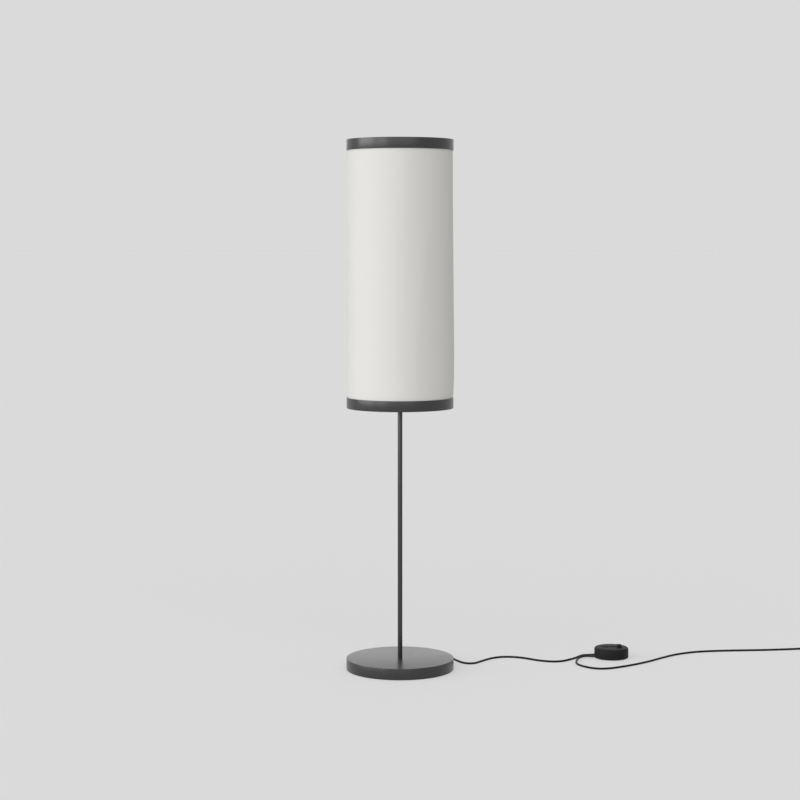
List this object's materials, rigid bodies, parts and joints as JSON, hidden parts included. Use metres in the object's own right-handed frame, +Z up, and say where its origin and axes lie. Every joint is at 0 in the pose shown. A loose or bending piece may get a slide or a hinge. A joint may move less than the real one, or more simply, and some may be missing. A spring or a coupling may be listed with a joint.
{
  "type": "column floor lamp",
  "caption": "Floor lamp with a disc base, a thin stem, a tall cylindrical fabric shade between metal rings, and a foot dimmer in its lead.",
  "frame": {"origin": "centre of the base's underside, on the floor", "axes": "+Z up along the stem; -Y is the front; the leads run over the floor towards +X"},
  "size_m": [1.253, 0.3645, 1.24],
  "materials": {
    "painted_steel": "satin powder coat, anthracite",
    "cast_iron": "as cast",
    "rubber_black": "matte",
    "zinc_steel": "zinc plated",
    "shade_fabric": "plain woven, off-white",
    "white_plastic": "satin",
    "opal": "opal diffuser",
    "black_plastic": "fine grain",
    "brass": "plain",
    "lead_pvc": "smooth black flex",
    "board": "solder mask",
    "nickel": "nickel plated"
  },
  "bodies": {
    "stand": {"base_cover": "painted_steel", "base_weight": "cast_iron", "base_pad": "rubber_black", "foot_nipple": "zinc_steel", "foot_washer": "zinc_steel", "foot_nut": "zinc_steel", "lead_clamp": "black_plastic", "clamp_screws": "zinc_steel", "base_relief": "rubber_black", "stem_lower": "painted_steel", "stem_upper": "painted_steel", "top_nipple": "zinc_steel", "junction_cup": "painted_steel", "junction_lid": "painted_steel", "junction_nipples": "zinc_steel", "junction_nuts": "zinc_steel", "terminal_block": "white_plastic", "bracket_lower": "zinc_steel", "bracket_upper": "zinc_steel", "holder_lower": "white_plastic", "holder_upper": "white_plastic", "holder_liners": "brass", "holder_contacts": "brass", "holder_nuts": "zinc_steel", "set_screws": "zinc_steel", "bottom_carrier": "painted_steel", "carrier_tips": "rubber_black", "dimmer_base": "black_plastic", "dimmer_cover": "black_plastic", "dimmer_screws": "zinc_steel", "dimmer_board": "board", "dimmer_track": "black_plastic", "dimmer_feet": "rubber_black", "dimmer_reliefs": "rubber_black", "plug_body": "black_plastic", "plug_relief": "rubber_black", "plug_pins": "nickel", "lamp_lead": "lead_pvc", "mains_lead": "lead_pvc", "mains_coil": "lead_pvc", "coil_tie": "rubber_black", "inner_lead": "lead_pvc", "branch_leads": "lead_pvc"},
    "shade": {"top_ring": "painted_steel", "bottom_ring": "painted_steel", "top_hoop": "painted_steel", "bottom_hoop": "painted_steel", "shade_fabric": "shade_fabric", "shade_struts": "painted_steel", "top_spider": "painted_steel"},
    "finial": {"finial": "painted_steel"},
    "bulb_lower": {"bulb_lower_cap": "nickel", "bulb_lower_body": "white_plastic", "bulb_lower_globe": "opal"},
    "bulb_upper": {"bulb_upper_cap": "nickel", "bulb_upper_body": "white_plastic", "bulb_upper_globe": "opal"},
    "slider": {"dimmer_knob": "black_plastic"}
  },
  "joints": [
    {"name": "shade_lift", "type": "slide", "parent": "stand", "child": "shade", "axis": [0, 0, 1], "range_m": [0, 0.64]},
    {"name": "finial_turn", "type": "hinge", "parent": "shade", "child": "finial", "pos_m": [0, 0, 1.23], "axis": [0, 0, 1], "continuous": true},
    {"name": "bulb_lower_turn", "type": "hinge", "parent": "stand", "child": "bulb_lower", "pos_m": [0.042, 0, 0.7627], "axis": [0, 0, 1], "continuous": true},
    {"name": "bulb_upper_turn", "type": "hinge", "parent": "stand", "child": "bulb_upper", "pos_m": [-0.042, 0, 1.0027], "axis": [0, 0, 1], "continuous": true},
    {"name": "dimmer_slide", "type": "slide", "parent": "stand", "child": "slider", "axis": [1, 0, 0], "range_m": [-0.038, 0]}
  ]
}
